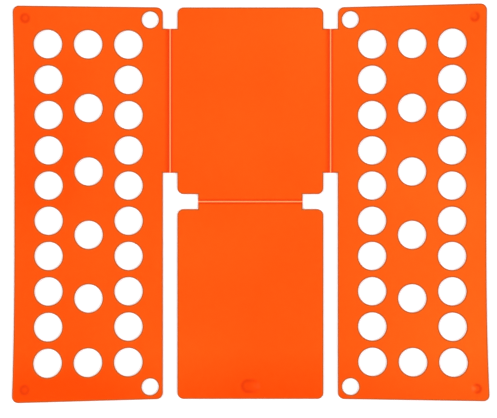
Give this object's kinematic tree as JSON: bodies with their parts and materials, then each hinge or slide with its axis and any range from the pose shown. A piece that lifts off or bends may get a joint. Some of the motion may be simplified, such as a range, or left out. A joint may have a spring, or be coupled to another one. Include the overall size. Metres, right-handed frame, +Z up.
{
  "type": "shirt folding board",
  "caption": "Flat plastic board for folding shirts: a plain centre panel, a perforated flap on each side and a plain lower flap, all on living hinges, with low feet.",
  "frame": {"origin": "middle of the open board's outline, on the table plane that the feet stand on", "axes": "+X to the right across the three columns of panels, +Y towards the collar end of the centre panel, +Z up out of the work surface"},
  "size_m": [0.68, 0.564, 0.0027],
  "materials": {
    "orange_plastic": "satin, slightly translucent",
    "hinge_plastic": "the same plastic, paler where it is thin"
  },
  "bodies": {
    "centre": {"centre_panel": "orange_plastic", "left_hinge_strip": "hinge_plastic", "right_hinge_strip": "hinge_plastic", "lower_hinge_strip": "hinge_plastic"},
    "left": {"left_flap": "orange_plastic", "left_top_foot": "orange_plastic", "left_bottom_foot": "orange_plastic"},
    "right": {"right_flap": "orange_plastic", "right_top_foot": "orange_plastic", "right_bottom_foot": "orange_plastic"},
    "lower": {"lower_flap": "orange_plastic", "lower_flap_foot": "orange_plastic"}
  },
  "joints": [
    {"name": "left_fold", "type": "hinge", "parent": "centre", "child": "left", "pos_m": [-0.1156, 0.1475, 0.00435], "axis": [0, 1, 0], "range_deg": [0, 180], "deforming": ["left_hinge_strip"]},
    {"name": "right_fold", "type": "hinge", "parent": "centre", "child": "right", "pos_m": [0.1156, 0.1475, 0.00585], "axis": [0, -1, 0], "range_deg": [0, 180], "deforming": ["right_hinge_strip"]},
    {"name": "lower_fold", "type": "hinge", "parent": "centre", "child": "lower", "pos_m": [0, 0.00225, 0.00285], "axis": [-1, 0, 0], "range_deg": [0, 180], "deforming": ["lower_hinge_strip"]}
  ]
}
